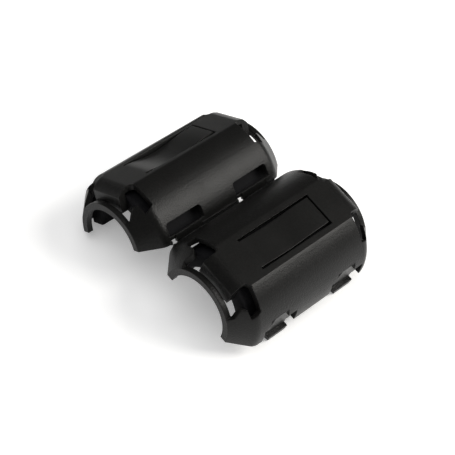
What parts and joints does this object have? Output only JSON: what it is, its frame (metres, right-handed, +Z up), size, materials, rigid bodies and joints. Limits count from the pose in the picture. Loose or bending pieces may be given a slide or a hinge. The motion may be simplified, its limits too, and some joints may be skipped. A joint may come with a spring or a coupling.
{
  "type": "open clip-on ferrite bead",
  "caption": "Clip-on cable ferrite, opened out: a black moulded case in hinged halves with snap hooks, each half holding a half core with a spring tongue.",
  "frame": {"origin": "on the ground under the middle of the opened-out case", "axes": "+X across both halves from the catch half to the latch half, +Y along the cable, +Z up out of the ground"},
  "size_m": [0.0468, 0.0366, 0.0179],
  "materials": {
    "case": "black moulded nylon, finely spark-grained",
    "ferrite": "dark grey sintered ferrite, ground matt"
  },
  "bodies": {
    "catch_half": {"catch_shell": "case", "catch_core": "ferrite", "hinge_strap_front": "case", "hinge_strap_rear": "case"},
    "latch_half": {"latch_shell": "case", "latch_core": "ferrite"}
  },
  "joints": [
    {"name": "hinge_fold", "type": "hinge", "parent": "catch_half", "child": "latch_half", "pos_m": [-0.00026, 0, 0.00959], "axis": [0, 1, 0], "range_deg": [-40, 140], "stiffness_Nm_per_rad": 0.1, "deforming": ["hinge_strap_front", "hinge_strap_rear"]}
  ]
}
